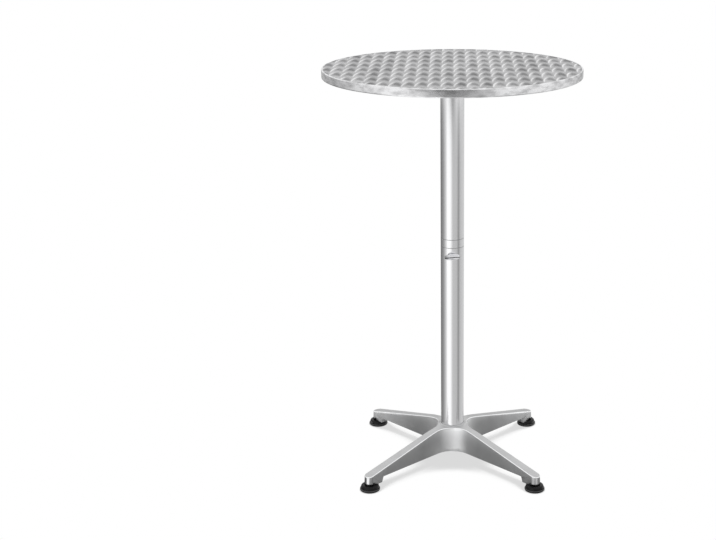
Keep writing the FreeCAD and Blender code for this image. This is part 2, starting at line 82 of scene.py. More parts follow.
# %% [markdown]
# ## The camera
#
# The camera stands in front of the table, a little above the top, and looks down at it. Its
# lens and place were worked out from the outline of the top, the column and the feet. The
# table stands right of the middle of the picture, so the lens is shifted, not turned.

# %% Camera
FRAME_WIDTH = 716
FOCAL_PIXELS = 1370.2
AXIS_PIXEL = 452.3
CAMERA_AWAY, CAMERA_HEIGHT, CAMERA_DOWN = 3.5602, 1.6449, 17.121
lens = bpy.data.cameras.new("studio_lens")
lens.sensor_width = 36
lens.lens = FOCAL_PIXELS / FRAME_WIDTH * lens.sensor_width
lens.shift_x = (FRAME_WIDTH / 2 - AXIS_PIXEL) / FRAME_WIDTH
camera = bpy.data.objects.new("studio_camera", lens)
camera.location = (0, -CAMERA_AWAY, CAMERA_HEIGHT)
camera.rotation_euler = (math.radians(90 - CAMERA_DOWN), 0, 0)
scene.collection.objects.link(camera)
scene.camera = camera
print("lens", round(lens.lens, 2), "mm, shift", round(lens.shift_x, 4))

# %% [markdown]
# ## Node trees as arithmetic
#
# A finish is a sum of small patterns, and node editors make sums hard to read. Wrapping a
# socket in a class with the usual operators lets a pattern be written as a formula: each
# operator adds one Math node. Every other node comes from one method, for materials, for
# the room and for Geometry Nodes alike. Two shapes of curve turn up again and again: a
# soft stroke and a straight slope between two values.


# %% Values and trees
class Value:
    """An output socket of a node tree, on which arithmetic adds Math nodes."""

    def __init__(self, tree, socket):
        self.tree = tree
        self.socket = socket

    def math(self, operation, *others):
        terms = dict(enumerate((self, *others)))
        return self.tree.node("ShaderNodeMath", {"operation": operation}, terms)

    def __add__(self, other):
        return self.math("ADD", other)

    def __mul__(self, other):
        return self.math("MULTIPLY", other)

    def __sub__(self, other):
        return self.math("SUBTRACT", other)

    def __truediv__(self, other):
        return self.math("DIVIDE", other)

    def __rsub__(self, other):
        return self * -1 + other

    __radd__ = __add__
    __rmul__ = __mul__


class Tree:
    """A node tree, with one method that adds any node to it."""

    def __init__(self, nodes):
        self.nodes = nodes

    def node(self, kind, settings=None, sockets=None, output=0):
        """Add a node, and give back one of its outputs, several of them or none."""
        made = self.nodes.nodes.new(kind)
        for name, setting in (settings or {}).items():
            if name == "stops":
                self.fill_ramp(made.color_ramp, setting)
            else:
                setattr(made, name, setting)
        self.feed(made, sockets or {})
        if output is None:
            return None
        if isinstance(output, tuple):
            return [Value(self, made.outputs[place]) for place in output]
        return Value(self, made.outputs[output])

    def feed(self, made, sockets):
        """Link or set a node's inputs; a list goes to an input that takes several links."""
        for place, content in sockets.items():
            for part in content if isinstance(content, list) else [content]:
                if isinstance(part, Value):
                    self.nodes.links.new(part.socket, made.inputs[place])
                else:
                    made.inputs[place].default_value = part

    @staticmethod
    def fill_ramp(ramp, stops):
        for position, _ in stops[2:]:
            ramp.elements.new(position)
        for element, (position, level) in zip(ramp.elements, stops):
            element.position = position
            element.color = (level, level, level, 1)


def stroke(value, centre, width):
    """A soft stroke, 1 at its centre."""
    offset = (value - centre) / width
    return (offset * offset * -1).math("EXPONENT")


def slope(value, low, high):
    """0 at one value, 1 at another and straight between them."""
    return ((value - low) / (high - low)).math("MAXIMUM", 0).math("MINIMUM", 1)


print("the tree helper is ready")

# %% [markdown]
# ## Helpers for the studio
#
# A picture needs a floor and things for metal to reflect, which aren't part of the table.
# Each is a few corners and faces, with a material that gives off its own light.


# %% Studio helpers
class Surface(Tree):
    """The node tree of a new material."""

    def __init__(self, name):
        self.material = bpy.data.materials.new(name)
        self.material.use_nodes = True
        super().__init__(self.material.node_tree)

    def show(self, shader):
        self.feed(self.nodes.nodes["Material Output"], {"Surface": shader})

    def place(self):
        """The three Object coordinates, in metres."""
        spot = self.node("ShaderNodeTexCoord", {}, {}, "Object")
        return self.node("ShaderNodeSeparateXYZ", {}, {0: spot}, (0, 1, 2))

    def mix(self, share, first, second):
        """One shader that goes over into another."""
        return self.node("ShaderNodeMixShader", {}, {0: share, 1: first, 2: second})

    def blend(self, share, first, second):
        """A colour between two; each is a value, or its red, green and blue."""
        ends = [end if isinstance(end, Value) else (*end, 1) for end in (first, second)]
        sockets = {0: share, 6: ends[0], 7: ends[1]}
        return self.node("ShaderNodeMix", {"data_type": "RGBA"}, sockets, 2)


def circle_points(radius, sides, height=0.0):
    """Corners evenly round a circle."""
    turns = [2 * math.pi * k / sides for k in range(sides)]
    return [(radius * math.cos(turn), radius * math.sin(turn), height) for turn in turns]


def set_up(name, corners, faces, surface):
    """A piece of the studio, which isn't part of the table."""
    mesh = bpy.data.meshes.new(name)
    mesh.from_pydata(corners, [], faces)
    mesh.materials.append(surface.material)
    piece = bpy.data.objects.new(name, mesh)
    scene.collection.objects.link(piece)
    return piece


print("studio helpers ready")

# %% [markdown]
# ## A white room
#
# The table stands on white, with only a pale shadow close round its legs. An evenly white
# world at strength 1 is both the background and the light, so a colour looks as it is
# written. In such a room, paper darkens only where something stands close above it. The
# Ambient Occlusion node measures just that, so the floor shines white and falls to a pale
# grey where the base hides much of what is within a hand's width. From below, the floor is
# clear, and reflections look past it.

# %% World and floor
SHADOW_REACH = 0.14
SHADOW_TONES = [(0.62, 0.70), (0.69, 1.0)]
FLOOR_RADIUS, FLOOR_SIDES = 6.0, 96
world = bpy.data.worlds.new("white_room")
world.use_nodes = True
world.node_tree.nodes["Background"].inputs["Color"].default_value = (1, 1, 1, 1)
world.node_tree.nodes["Background"].inputs["Strength"].default_value = 1.0
scene.world = world
paper = Surface("white_paper")
openness = paper.node("ShaderNodeAmbientOcclusion", {"samples": 32},
                      {"Distance": SHADOW_REACH}, "AO")
tone = paper.node("ShaderNodeValToRGB", {"stops": SHADOW_TONES}, {0: openness})
lit_paper = paper.node("ShaderNodeEmission", {}, {"Color": tone, "Strength": 1.0})
from_below = paper.node("ShaderNodeNewGeometry", {}, {}, "Backfacing")
paper.show(paper.mix(from_below, lit_paper, paper.node("ShaderNodeBsdfTransparent")))
floor = set_up("white_floor", circle_points(FLOOR_RADIUS, FLOOR_SIDES),
               [range(FLOOR_SIDES)], paper)
floor.visible_glossy = False
print("floor", 2 * FLOOR_RADIUS, "m across; its shadow reaches", SHADOW_REACH, "m")

# %% [markdown]
# ## Cards for the metal to reflect
#
# Bare metal in an even white room looks like paper. A photographer stands grey cards and a
# bright panel round it, and their reflections draw the dark edges and the white streak on
# the column. Here the cards are one large drum that only reflections see. Its grey depends
# on the direction, from the back left, past the front, to the back right. The band round the
# top looks at the drum higher up than the column does, so it has cards of its own there.

# %% Cards
CARDS = [(-180, .90), (-166, .80), (-152, .22), (-135, .20), (-114, .29), (-98, .33),
         (-84, .50), (-71, .67), (-59, .90), (-50, 1.25), (-20, 1.25), (-13, 1.10), (-3, .84),
         (4, .64), (45, .60), (58, .36), (70, .36), (80, .60), (130, .72), (160, .72), (180, .90)]
RIM_CARDS = [(-180, .55), (-150, .55), (-126, .50), (-112, .54), (-98, .70), (-80, .92),
             (-56, 1.0), (-42, .95), (-28, .60), (-14, .20), (0, .08), (14, .32), (28, .68),
             (42, 1.0), (56, 1.06), (84, 1.0), (112, .86), (126, .70), (150, .60), (180, .55)]
DRUM_RADIUS, DRUM_SIDES = 4.0, 72
DRUM_LOW, DRUM_FADE, DRUM_TOP = -7.0, 0.95, 1.35
RIM_LOW, RIM_HIGH = 0.30, 0.34
RAMP_SCALE = 2.0
WHITE_CARD = (1 / RAMP_SCALE,) * 3


def only_in_reflections(piece):
    """Hide a piece of the studio from everything but reflections."""
    for kind in ("camera", "diffuse", "transmission", "volume_scatter", "shadow"):
        setattr(piece, "visible_" + kind, False)


cards = Surface("card_greys")
card_x, card_y, card_z = cards.place()
direction = card_x.math("ARCTAN2", card_y * -1) / (2 * math.pi) + 0.5


def card_level(stops):
    """The level of a ring of cards, scaled down because a ramp ends at 1."""
    ramp = [((degrees + 180) / 360, level / RAMP_SCALE) for degrees, level in stops]
    return cards.node("ShaderNodeValToRGB", {"stops": ramp}, {0: direction})


both_rings = cards.blend(slope(card_z, RIM_LOW, RIM_HIGH), card_level(CARDS),
                         card_level(RIM_CARDS))
faded = cards.blend(slope(card_z, DRUM_FADE, DRUM_TOP), both_rings, WHITE_CARD)
cards.show(cards.node("ShaderNodeEmission", {}, {"Color": faded, "Strength": RAMP_SCALE}))
drum_points = [point for height in (DRUM_LOW, DRUM_FADE, DRUM_TOP)
               for point in circle_points(DRUM_RADIUS, DRUM_SIDES, height)]
drum_faces = []
for low_row in (0, DRUM_SIDES):
    for k in range(DRUM_SIDES):
        left, right = low_row + k, low_row + (k + 1) % DRUM_SIDES
        drum_faces.append((left, right, right + DRUM_SIDES, left + DRUM_SIDES))
only_in_reflections(set_up("card_drum", drum_points, drum_faces, cards))
print("cards:", len(CARDS), "round the column,", len(RIM_CARDS), "round the rim")

# %% [markdown]
# ## Low panels beside the rear legs
#
# The walls of the rear legs are lighter than those of the front legs, which face the same
# way, so no card far away can tell them apart. Two bright panels stand beside the rear legs
# instead, below the level of the floor, where the reflections in those walls look. The column
# must not mirror them, so a panel is there only for a reflection from near by, and turns
# clear as the ray that looks at it gets longer.

# %% Low panels
PANEL_AWAY, PANEL_LIGHT = 0.62, 2.4
PANEL_FRONT, PANEL_BACK = 0.14, 0.52
PANEL_LOW, PANEL_HIGH = -0.55, -0.03
PANEL_FULL, PANEL_GONE = 0.50, 0.63
panel_surface = Surface("panel_light")
ray_length = panel_surface.node("ShaderNodeLightPath", {}, {}, "Ray Length")
panel_surface.show(panel_surface.mix(
    slope(ray_length, PANEL_GONE, PANEL_FULL), panel_surface.node("ShaderNodeBsdfTransparent"),
    panel_surface.node("ShaderNodeEmission", {}, {"Strength": PANEL_LIGHT})))
for side in (-1, 1):
    panel_points = [(side * PANEL_AWAY, y, z) for y, z in (
        (PANEL_FRONT, PANEL_LOW), (PANEL_BACK, PANEL_LOW),
        (PANEL_BACK, PANEL_HIGH), (PANEL_FRONT, PANEL_HIGH))]
    only_in_reflections(set_up("low_panel", panel_points, [range(4)], panel_surface))
print("low panels", PANEL_AWAY, "m to each side")

# %% [markdown]
# ## What a finish needs
#
# Each finish is a Principled material, or two of them blended by a pattern. Patterns are
# placed in millimetres in the table's own frame, so a line on the tube or a swirl on the top
# has its real size. Numbers that are the same everywhere go straight onto the shader.


# %% Finish helper
class Finish(Surface):
    """A Principled material whose patterns are written in millimetres."""

    def __init__(self, name, **even):
        super().__init__(name)
        self.shader = self.nodes.nodes["Principled BSDF"]
        self.set(**even)

    @staticmethod
    def sockets(contents):
        """Contents by socket, from names such as base_color."""
        return {name.replace("_", " ").title().replace("Ior", "IOR"): content
                for name, content in contents.items()}

    def set(self, **contents):
        """Link or set the shader's sockets."""
        self.feed(self.shader, self.sockets(contents))

    def over(self, share, **contents):
        """Blend a second shader over the first, by a share between 0 and 1."""
        first = Value(self, self.shader.outputs[0])
        second = self.node("ShaderNodeBsdfPrincipled", {}, self.sockets(contents))
        self.show(self.mix(share, first, second))

    def place(self):
        """The three Object coordinates, in millimetres."""
        return [axis * 1000 for axis in super().place()]

    def noise(self, size, detail=2.0, stretch=(1, 1, 1)):
        """Cloudy noise around 0.5, with patches of about this size in millimetres."""
        spot = self.node("ShaderNodeTexCoord", {}, {}, "Object")
        squeeze = tuple(1 / factor for factor in stretch)
        scaled = self.node("ShaderNodeMapping", {}, {"Vector": spot, "Scale": squeeze})
        return self.node("ShaderNodeTexNoise", {},
                         {"Vector": scaled, "Scale": 1000 / size, "Detail": detail})

    def bump(self, height, depth):
        """A normal from a height between 0 and 1, with a depth in millimetres."""
        return self.node("ShaderNodeBump", {},
                         {"Strength": 1.0, "Distance": depth * MM, "Height": height})


BLACK = (0, 0, 0)
finishes = {}
print("finish helper ready")

# %% [markdown]
# ## Engine-turned steel
#
# The sheet was polished with a small spinning pad, set down again and again in rows, so each
# swirl covers part of the one before. An image would be the quick way, but the rule is
# simple enough to write down: for a point on the sheet, find its row, find the last swirl
# that covers it, and shade it by how far it lies from that swirl's own rim. Each swirl has a
# painted highlight, a bright stroke near the rim, and a painted dark reflection, a dark leaf
# in the middle; both stand in for the way its polishing marks catch the light. Its fine rings
# are a bump. Seen at the picture's low angle the swirls look round, so on the sheet they are
# longer than they are wide.
#
# Bare metal turns white when seen at a low angle, and the top is seen at nine degrees, so one
# metal would lose its pattern there. Two metals are blended instead, by the painted pattern:
# a dull one, whose tint keeps it dark at low angles and which carries the painted dark
# reflection, and a bright one, which carries the painted highlight.

# %% Swirls
STROKE_AT, STROKE_WIDTH = 0.87, 0.10
LEAF_AT, LEAF_WIDTH = 0.58, 0.31
RING_PITCH, RING_DEPTH = 4.2, 0.004
DULL_LEVEL, BRIGHT_LEVEL = 0.25, 0.87


def swirls(finish, x, y, pitch, row_gap, half_wide, half_tall):
    """Where a point lies on the swirl that covers it: sideways, up, and that swirl's number."""
    front_row = (y / row_gap).math("FLOOR")

    def in_row(row):
        up = (y - row * row_gap) / half_tall
        half = (1 - up * up).math("MAXIMUM", 0).math("SQRT") * half_wide
        place = ((x + half) / pitch).math("FLOOR")
        sideways = (x - place * pitch) / half_wide
        covers = half.math("GREATER_THAN", sideways * half_wide)
        place_row = finish.node("ShaderNodeCombineXYZ", {}, {0: place, 1: row})
        own = finish.node("ShaderNodeTexWhiteNoise", {"noise_dimensions": "2D"},
                          {"Vector": place_row})
        return sideways, up, own, covers

    front, behind = in_row(front_row), in_row(front_row + 1)
    return [back + (fore - back) * front[3] for fore, back in zip(front[:3], behind[:3])]


def swirl_finish(name, spread, lay, middle, bright, dark, rough, blotch, odd):
    """Polished steel in rows of swirls, with painted highlights and dark reflections of given
    strengths.
    """
    finish = Finish(name, metallic=1.0, specular_tint=(0.40, 0.40, 0.40, 1))
    sideways, up, own = swirls(finish, *spread(finish), **lay)
    out = (sideways * sideways + up * up).math("SQRT")
    # The stroke is a painted highlight and the leaf a painted dark reflection, each on one side of
    # a swirl.
    painted_highlight_side = slope(sideways, 0.05, -0.45) * slope(up, -0.10, 0.20)
    painted_dark_side = slope(sideways, -0.55, -0.10) * slope(up, 0.05, 0.35)
    painted_highlight_stroke = stroke(out, STROKE_AT, STROKE_WIDTH) * painted_highlight_side
    painted_dark_leaf = stroke(out, LEAF_AT, LEAF_WIDTH) * painted_dark_side
    grain, patches = finish.noise(3.0, 3.0), finish.noise(9, 3.0, (3, 3, 1))
    uneven = (grain - 0.5) * 0.12 + (patches - 0.5) * blotch + (own - 0.5) * odd
    level = painted_highlight_stroke * bright - painted_dark_leaf * dark + uneven + middle
    rings = (out * (2 * math.pi * lay["half_wide"] / RING_PITCH)).math("SINE") * 0.5 + 0.5
    same = {"roughness": rough + painted_dark_leaf * (dark / 2) - painted_highlight_stroke * (bright / 4),
            "normal": finish.bump(rings, RING_DEPTH)}
    finish.set(base_color=finish.blend(grain, (.27, .27, .275), (.33, .33, .335)), **same)
    finish.over(slope(level, DULL_LEVEL, BRIGHT_LEVEL), metallic=1.0,
                specular_tint=(0.95, 0.95, 0.95, 1),
                base_color=finish.blend(grain, (.82, .82, .83), (.88, .88, .89)), **same)
    return finish.material


print("swirl rule ready")

# %% [markdown]
# ## Swirls on the sheet and on the band
#
# The sheet carries straight rows of swirls. The band was cut from the same kind of sheet and
# bent round the edge, so its rows run round the rim; rolling and handling left it patchy, and
# only traces of the swirls show.

# %% Sheet and band finishes
SWIRL_START = 11.4
BAND_SWIRLS = 70
sheet_lay = {"pitch": 31.5, "row_gap": 76.0, "half_wide": 18.0, "half_tall": 76.0}
rim_radius = cad_box[1].x / MM
band_foot = span("edge_band")[0].z
band_lay = dict(sheet_lay, pitch=2 * math.pi * rim_radius / BAND_SWIRLS, row_gap=46.0,
                half_tall=50.0)


def over_the_sheet(finish):
    """Distances across the sheet and away from the front."""
    x, y, _ = finish.place()
    return x + SWIRL_START, y


def round_the_rim(finish):
    """Distance round the rim and height on it, with the seam at the back."""
    x, y, z = finish.place()
    return x.math("ARCTAN2", y * -1) * rim_radius, z - band_foot


finishes["swirled_steel"] = swirl_finish(
    "swirled_steel_sheet", over_the_sheet, sheet_lay,
    middle=0.54, bright=0.29, dark=0.23, rough=0.28, blotch=0.14, odd=0.12)
finishes["swirled_band"] = swirl_finish(
    "swirled_steel_band", round_the_rim, band_lay,
    middle=0.77, bright=0.03, dark=0.03, rough=0.18, blotch=1.15, odd=0.0)
print("swirl pitch", sheet_lay["pitch"], "mm on the sheet,",
      round(band_lay["pitch"], 2), "mm on the band")

# %% [markdown]
# ## Tube
#
# The column is drawn aluminium tube with a satin anodised skin, and the drawing die leaves
# faint lines along it. Noise that depends only on the angle round the tube gives such lines.
# The ends of the joint's ring are eased, and shade is painted dark into the narrow gaps there.

# %% Tube finish
tube = Finish("satin_anodised_tube", metallic=1.0)
tube_x, tube_y, tube_z = tube.place()
round_tube = tube_x.math("ARCTAN2", tube_y * -1)
die_lines = tube.node("ShaderNodeTexNoise", {"noise_dimensions": "1D"},
                      {"W": round_tube, "Scale": 11.0, "Detail": 3.0})
hazy = tube.noise(40, 2.0, (1, 1, 4))
tube_radius = span("lower_tube")[1].x
ring_low, ring_high = span("lower_tube")[1].z, span("upper_tube")[0].z
from_low, from_high = ((tube_z - end).math("ABSOLUTE") for end in (ring_low, ring_high))
from_end = from_low.math("MINIMUM", from_high)
from_axis = (tube_x * tube_x + tube_y * tube_y).math("SQRT")
under_skin = slope(from_axis, tube_radius - 0.04, tube_radius - 0.14)
# Painted shade in the narrow gaps at the ends of the joint's ring.
gap_painted_shade = slope(from_end, 1.1, 0.9) * slope(from_end, 0.02, 0.06) * under_skin
tube_light = (die_lines * 0.10 + hazy * 0.06 + 0.86) * (1 - gap_painted_shade * 0.9)
tube.set(base_color=tube.blend(tube_light, BLACK, (.87, .87, .88)),
         roughness=0.11 + die_lines * 0.06 + hazy * 0.04)
finishes["satin_tube"] = tube.material
print("tube", round(2 * tube_radius, 1), "mm, ring", round(ring_high - ring_low, 1), "mm high")

# %% [markdown]
# ## Casting
#
# The base is cast and then polished by hand. The wheel leaves the long walls of the legs dull
# and rough; their darker tone is partly that dullness and partly painted shade. A painted
# highlight runs as a bright line along the edges and brightens the throats between the legs.
# How far a point lies below the top of the casting, how near it is to a throat and how far out
# on a leg tell how bright it is. The tips are glossier, with a painted highlight as a bright
# streak on one side of their rounded ends and painted shade on the other.

# %% Casting finish
HUB_TOP = 100.5
LEG_FALL, FALL_FROM, FALL_BEND = 0.2264, 64, 45
TIP_FROM, TIP_FULL = 294, 310
TOP_LIGHT, WALL_LIGHT, THROAT_PAINTED_HIGHLIGHT, EDGE_PAINTED_HIGHLIGHT = 0.54, 0.32, 0.42, 0.46
THROAT_SPREAD, EDGE_SPREAD, EDGE_FADE = 40, 75, 13
STREAK_AT, STREAK_WIDTH, STREAK_PAINTED_HIGHLIGHT, STREAK_PAINTED_SHADE = -6, 3.0, 0.50, 0.18
cast = Finish("polished_casting", metallic=1.0)
cast_x, cast_y, cast_z = cast.place()
clouds, pores = cast.noise(38, 3.0), cast.noise(2.6, 2.0)
reach = (cast_x * cast_x + cast_y * cast_y).math("SQRT")
fall = (reach - FALL_FROM).math("SMOOTH_MAX", 0, FALL_BEND) * LEG_FALL
below = HUB_TOP - fall - cast_z
away_x, away_y = cast_x.math("ABSOLUTE"), cast_y.math("ABSOLUTE")
beside = away_x.math("MINIMUM", away_y)
edge_share = stroke(beside, 0, EDGE_SPREAD) * 0.30 + 0.10
near_edge = (below / -EDGE_FADE).math("EXPONENT") * edge_share
tip = slope(reach, TIP_FROM, TIP_FULL)
off_line = (away_x - away_y) * math.sqrt(0.5)
# Painted highlight on one side of each rounded tip, painted shade on the other.
painted_tip_highlight = stroke(off_line, STREAK_AT, STREAK_WIDTH) * STREAK_PAINTED_HIGHLIGHT
streak = painted_tip_highlight - slope(off_line, -3, 3) * STREAK_PAINTED_SHADE
# Painted highlight in the throats and near the edges; the walls' lower level is partly dullness,
# partly painted shade.
wall = stroke(beside, 0, THROAT_SPREAD) * THROAT_PAINTED_HIGHLIGHT + near_edge + tip * streak + WALL_LIGHT
# A painted highlight along the fillet of each crease.
painted_edge_highlight = slope(below, 0.12, 0.35) * slope(below, 2.5, 1.9)
on_wall = (wall - TOP_LIGHT) * slope(below, 1.5, 4.5)
# The polished tone with the painted highlights and painted shade added.
polish_and_painted_light = on_wall + painted_edge_highlight * EDGE_PAINTED_HIGHLIGHT + (clouds - 0.5) * 0.12 + TOP_LIGHT
dullness = slope(below, 2.5, 5.5) * (0.22 - tip * 0.30)
cast.set(base_color=cast.blend(polish_and_painted_light, BLACK, (.99, .995, 1.0)),
         roughness=0.28 + dullness + pores * 0.06,
         normal=cast.bump(clouds * 0.8 + pores * 0.2, 0.05))
finishes["cast_aluminium"] = cast.material
print("casting finish ready, tips from", TIP_FROM, "mm")

# %% [markdown]
# ## Turned and pressed aluminium
#
# The plug and the column head are turned, and show rings from the lathe: noise that is
# stretched sideways until only its changes along the axis are left. The spider under the top
# is pressed and tumbled, which leaves it dull and gritty.

# %% Other aluminium finishes
lathe = Finish("turned_aluminium", metallic=1.0)
tool_marks, haze = lathe.noise(3.2, 1.0, (60, 60, 1)), lathe.noise(22)
lathe.set(base_color=lathe.blend(tool_marks * 0.5 + haze * 0.5, (.62, .62, .63), (.78, .78, .79)),
          roughness=0.22 + tool_marks * 0.16, normal=lathe.bump(tool_marks, 0.012))
finishes["turned_aluminium"] = lathe.material

pressed = Finish("tumbled_spider", metallic=1.0)
dull, grit = pressed.noise(26, 3.0), pressed.noise(1.8, 2.0)
pressed.set(base_color=pressed.blend(dull, (.60, .60, .61), (.76, .76, .77)),
            roughness=0.34 + dull * 0.12 + grit * 0.06, normal=pressed.bump(grit, 0.02))
finishes["spider_metal"] = pressed.material
print("aluminium and steel finishes:", len(finishes))

# %% [markdown]
# ## The chrome knob
#
# The oval knob on the column is nearly a mirror, with faint smears. Its slot is cut in the
# solid, and painted shade darkens it inside; its left end carries a painted dark reflection.
# Both are found from the knob's own box: the slot by the distance from a slightly tilted line.

# %% Chrome finish
SLOT_TILT = math.radians(4)
chrome = Finish("polished_chrome", metallic=1.0)
smears = chrome.noise(14, 3.0)
knob_x, knob_y, knob_z = chrome.place()
knob_low, knob_high = span("lock_knob")
knob_middle = (knob_low.z + knob_high.z) / 2
across = (knob_z - knob_middle) * math.cos(SLOT_TILT) - knob_x * math.sin(SLOT_TILT)
behind_face = slope(knob_y, knob_low.y + 0.5, knob_low.y + 1.5)
# Painted shade inside the slot, which is also rougher.
in_slot = behind_face * slope(across.math("ABSOLUTE"), 2.3, 1.2)
# A painted dark reflection on the knob's left end.
painted_dark_end = slope(knob_x, knob_low.x + 11, knob_low.x + 4)
shine = (smears * 0.1 + 0.77) * (1 - in_slot * 0.85) * (1 - painted_dark_end * 0.55)
chrome.set(base_color=chrome.blend(shine, BLACK, (.98, .98, 1.0)),
           roughness=0.05 + smears * 0.10 + in_slot * 0.3)
finishes["chrome"] = chrome.material
print("knob", round(knob_high.x - knob_low.x, 1), "mm wide")

# %% [markdown]
# ## Zinc, blackened steel and paint
#
# The other small parts are plated or coated. Zinc is bluish and cloudy, the clamp rod is
# blackened and a little rubbed, and the hinge box has a warm grey coat with the slight orange
# peel of powder paint. Noise of the right size is enough for each.

# %% Plated and painted finishes
zinc = Finish("zinc_plated_steel", metallic=1.0)
spangle = zinc.noise(6, 3.0)
zinc.set(base_color=zinc.blend(spangle, (.56, .57, .59), (.72, .72, .73)),
         roughness=0.24 + spangle * 0.16)
finishes["zinc_steel"] = zinc.material

blackened = Finish("blackened_steel", metallic=0.0)
rubbed = blackened.noise(5, 4.0)
worn = slope(rubbed, 0.62, 0.82)
blackened.set(base_color=blackened.blend(worn, (.035, .035, .038), (.12, .12, .12)),
              roughness=0.34 + rubbed * 0.16, normal=blackened.bump(rubbed, 0.02))
finishes["black_steel"] = blackened.material

coat = Finish("warm_grey_coat", metallic=0.0)
peel, drift = coat.noise(1.9, 1.0), coat.noise(30, 2.0)
coat.set(base_color=coat.blend(drift, (.48, .48, .455), (.56, .56, .53)),
         roughness=0.36 + peel * 0.12, normal=coat.bump(peel, 0.03))
finishes["box_metal"] = coat.material
print("finishes so far:", len(finishes))

# %% [markdown]
# ## Rubber and plastic
#
# The pads of the feet are black rubber with a little dust, and a pale line painted round them
# at one height is a painted highlight along the edge of their flange. The clamp's knob is
# moulded plastic, with the fine grain that a spark-eroded mould leaves.

# %% Rubber and plastic finishes
HIGHLIGHT_LINE_HEIGHT, HIGHLIGHT_LINE_WIDTH = 6.0, 0.9
rubber = Finish("black_rubber", metallic=0.0, specular_ior_level=0.18)
dust, rubber_skin = rubber.noise(9, 3.0), rubber.noise(1.2, 1.0)
# A painted highlight line along the flange's edge, with a little dust.
painted_highlight_line = stroke(rubber.place()[2], HIGHLIGHT_LINE_HEIGHT, HIGHLIGHT_LINE_WIDTH)
dust_and_painted_highlight = painted_highlight_line * (0.7 + dust * 0.6) + dust * 0.08
rubber.set(base_color=rubber.blend(dust_and_painted_highlight, (.004, .004, .0045), (.075, .075, .076)),
           roughness=0.22 + rubber_skin * 0.16, normal=rubber.bump(rubber_skin, 0.03))
finishes["black_rubber"] = rubber.material

plastic = Finish("moulded_black_plastic", metallic=0.0)
sparks, sheen = plastic.noise(0.9, 1.0), plastic.noise(12)
plastic.set(base_color=plastic.blend(sheen, (.018, .018, .019), (.034, .034, .035)),
            roughness=0.36 + sparks * 0.16, normal=plastic.bump(sparks, 0.025))
finishes["black_plastic"] = plastic.material
print("painted highlight line on the pads at", HIGHLIGHT_LINE_HEIGHT, "mm")

# %% [markdown]
# ## Laminate, board and nylon
#
# The underside of the top is a cool white laminate, faintly mottled. The chip board inside it
# is hardly seen: cells for the chips and stretched noise for the fibres do for that. The
# bushes of the hinge are natural nylon.

# %% Other finishes
laminate = Finish("cool_white_laminate", metallic=0.0)
mottle, crepe = laminate.noise(60, 3.0), laminate.noise(4.5, 2.0)
paper_mix = mottle * 0.6 + crepe * 0.4
laminate.set(base_color=laminate.blend(paper_mix, (.745, .755, .80), (.80, .81, .85)),
             roughness=0.30 + crepe * 0.14, normal=laminate.bump(crepe, 0.02))
finishes["white_laminate"] = laminate.material

board = Finish("chip_board", metallic=0.0)
board_spot = board.node("ShaderNodeTexCoord", {}, {}, "Object")
chips = board.node("ShaderNodeTexVoronoi", {}, {"Vector": board_spot, "Scale": 220.0}, "Distance")
fibre = board.noise(9, 4.0, (1, 1, 0.4))
board.set(base_color=board.blend(chips * 0.5 + fibre * 0.5, (.30, .20, .11), (.62, .47, .31)),
          roughness=0.7 + chips * 0.2)
finishes["board"] = board.material

nylon = Finish("natural_nylon", metallic=0.0)
flow = nylon.noise(5, 2.0)
nylon.set(base_color=nylon.blend(flow, (.72, .72, .67), (.80, .80, .76)),
          roughness=0.36 + flow * 0.16)
finishes["nylon"] = nylon.material

slot_of = {part["node"]: part["material_slot"] for part in frame["record"]["subparts"]}
print("finishes:", len(finishes), "of", len(set(slot_of.values())), "slots")

# %% [markdown]
# ## Smooth copies
#
# A CAD node arrives as loose triangles with flat shading. For the pieces whose shape is
# already right, the copy is welded, edges sharper than a crease angle are kept, and the
# Weighted Normal modifier lets large faces rule the shading, so fillets look round. Pieces
# with square edges also get a small Bevel, because no real edge is perfectly sharp.

# %% Piece helpers
WELD = 0.004 * MM
FLAT_ANGLE = math.radians(1)


def finish_of(node):
    """The finish that the record asks for on a CAD node."""
    return finishes[slot_of[node]]


def body_of(node):
    """The body that a CAD node rides on."""
    bodies = frame["record"]["behaviour"]["bodies"]
    return next(name for name, members in bodies.items() if node in members)


def stand_in(piece, node):
    """Let a finished piece ride with the body of the node that it replaces."""
    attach(piece, body_of(node))
    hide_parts(node)
    return piece


def new_piece(name, mesh):
    """An object at the origin that holds a mesh."""
    piece = bpy.data.objects.new(name, mesh)
    scene.collection.objects.link(piece)
    return piece


def settle(piece):
    """Turn a piece's modifiers into plain mesh."""
    depsgraph = bpy.context.evaluated_depsgraph_get()
    mesh = bpy.data.meshes.new_from_object(piece.evaluated_get(depsgraph))
    piece.modifiers.clear()
    piece.data = mesh
    return piece


def shade(piece, crease=30):
    """Smooth shading between creases, ruled by the large faces."""
    piece.data.shade_smooth()
    piece.data.set_sharp_from_angle(angle=math.radians(crease))
    weighted = piece.modifiers.new("weighted", "WEIGHTED_NORMAL")
    weighted.keep_sharp = True
    return settle(piece)


def smooth_copy(node, crease=30, bevel=None):
    """A welded, smooth copy of a CAD node, with rounded edges if a bevel is given in mm."""
    mesh = bpy.data.meshes.new(node + "_smooth")
    mesh.materials.append(finish_of(node))
    build = bmesh.new()
    build.from_mesh(frame["nodes"][node].data)
    bmesh.ops.remove_doubles(build, verts=build.verts, dist=WELD)
    if bevel:
        bmesh.ops.dissolve_limit(build, angle_limit=FLAT_ANGLE, verts=build.verts,
                                 edges=build.edges)
    build.to_mesh(mesh)
    build.free()
    piece = new_piece(node + "_smooth", mesh)
    if bevel:
        rounding = piece.modifiers.new("rounding", "BEVEL")
        rounding.width = bevel * MM
        rounding.segments = 2
        rounding.limit_method = "ANGLE"
        rounding.angle_limit = math.radians(crease)
        settle(piece)
    return stand_in(shade(piece, crease), node)


print("piece helpers ready")

